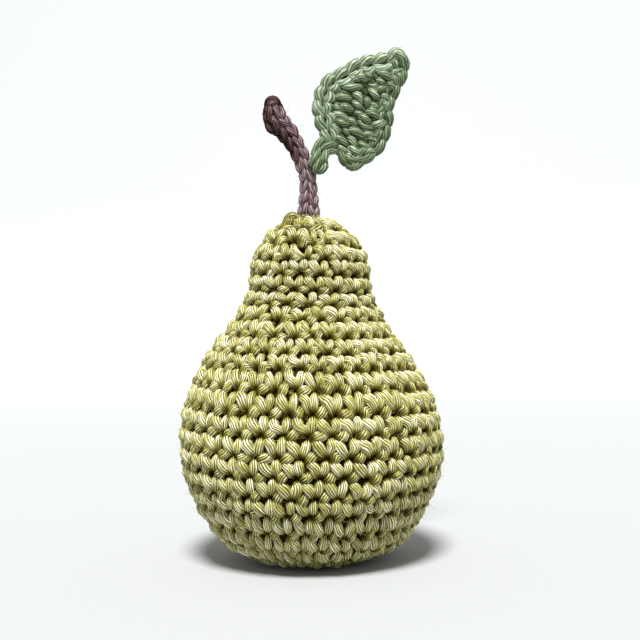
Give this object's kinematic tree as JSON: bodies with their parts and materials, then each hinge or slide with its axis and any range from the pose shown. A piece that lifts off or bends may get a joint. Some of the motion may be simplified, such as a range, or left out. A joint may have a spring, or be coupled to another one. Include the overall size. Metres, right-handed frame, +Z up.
{
  "type": "crocheted pear",
  "caption": "Stuffed crocheted pear that stands on its flattened base, with a curved crocheted stem and a crocheted leaf on a short chain stalk.",
  "frame": {"origin": "middle of the flat spot that the pear rests on", "axes": "+Z up through the crown; seen along +Y, the stem curves towards -X and the leaf points to +X"},
  "size_m": [0.0674, 0.0674, 0.1306],
  "materials": {
    "cover_yarn": "crocheted mercerised cotton, yellow-green",
    "filling": "loose fibre filling, off-white",
    "stem_yarn": "crocheted mercerised cotton, mauve-brown",
    "leaf_yarn": "crocheted mercerised cotton, sage green"
  },
  "bodies": {
    "root": {"cover": "cover_yarn", "stuffing": "filling", "stem": "stem_yarn", "leaf": "leaf_yarn"}
  },
  "joints": []
}
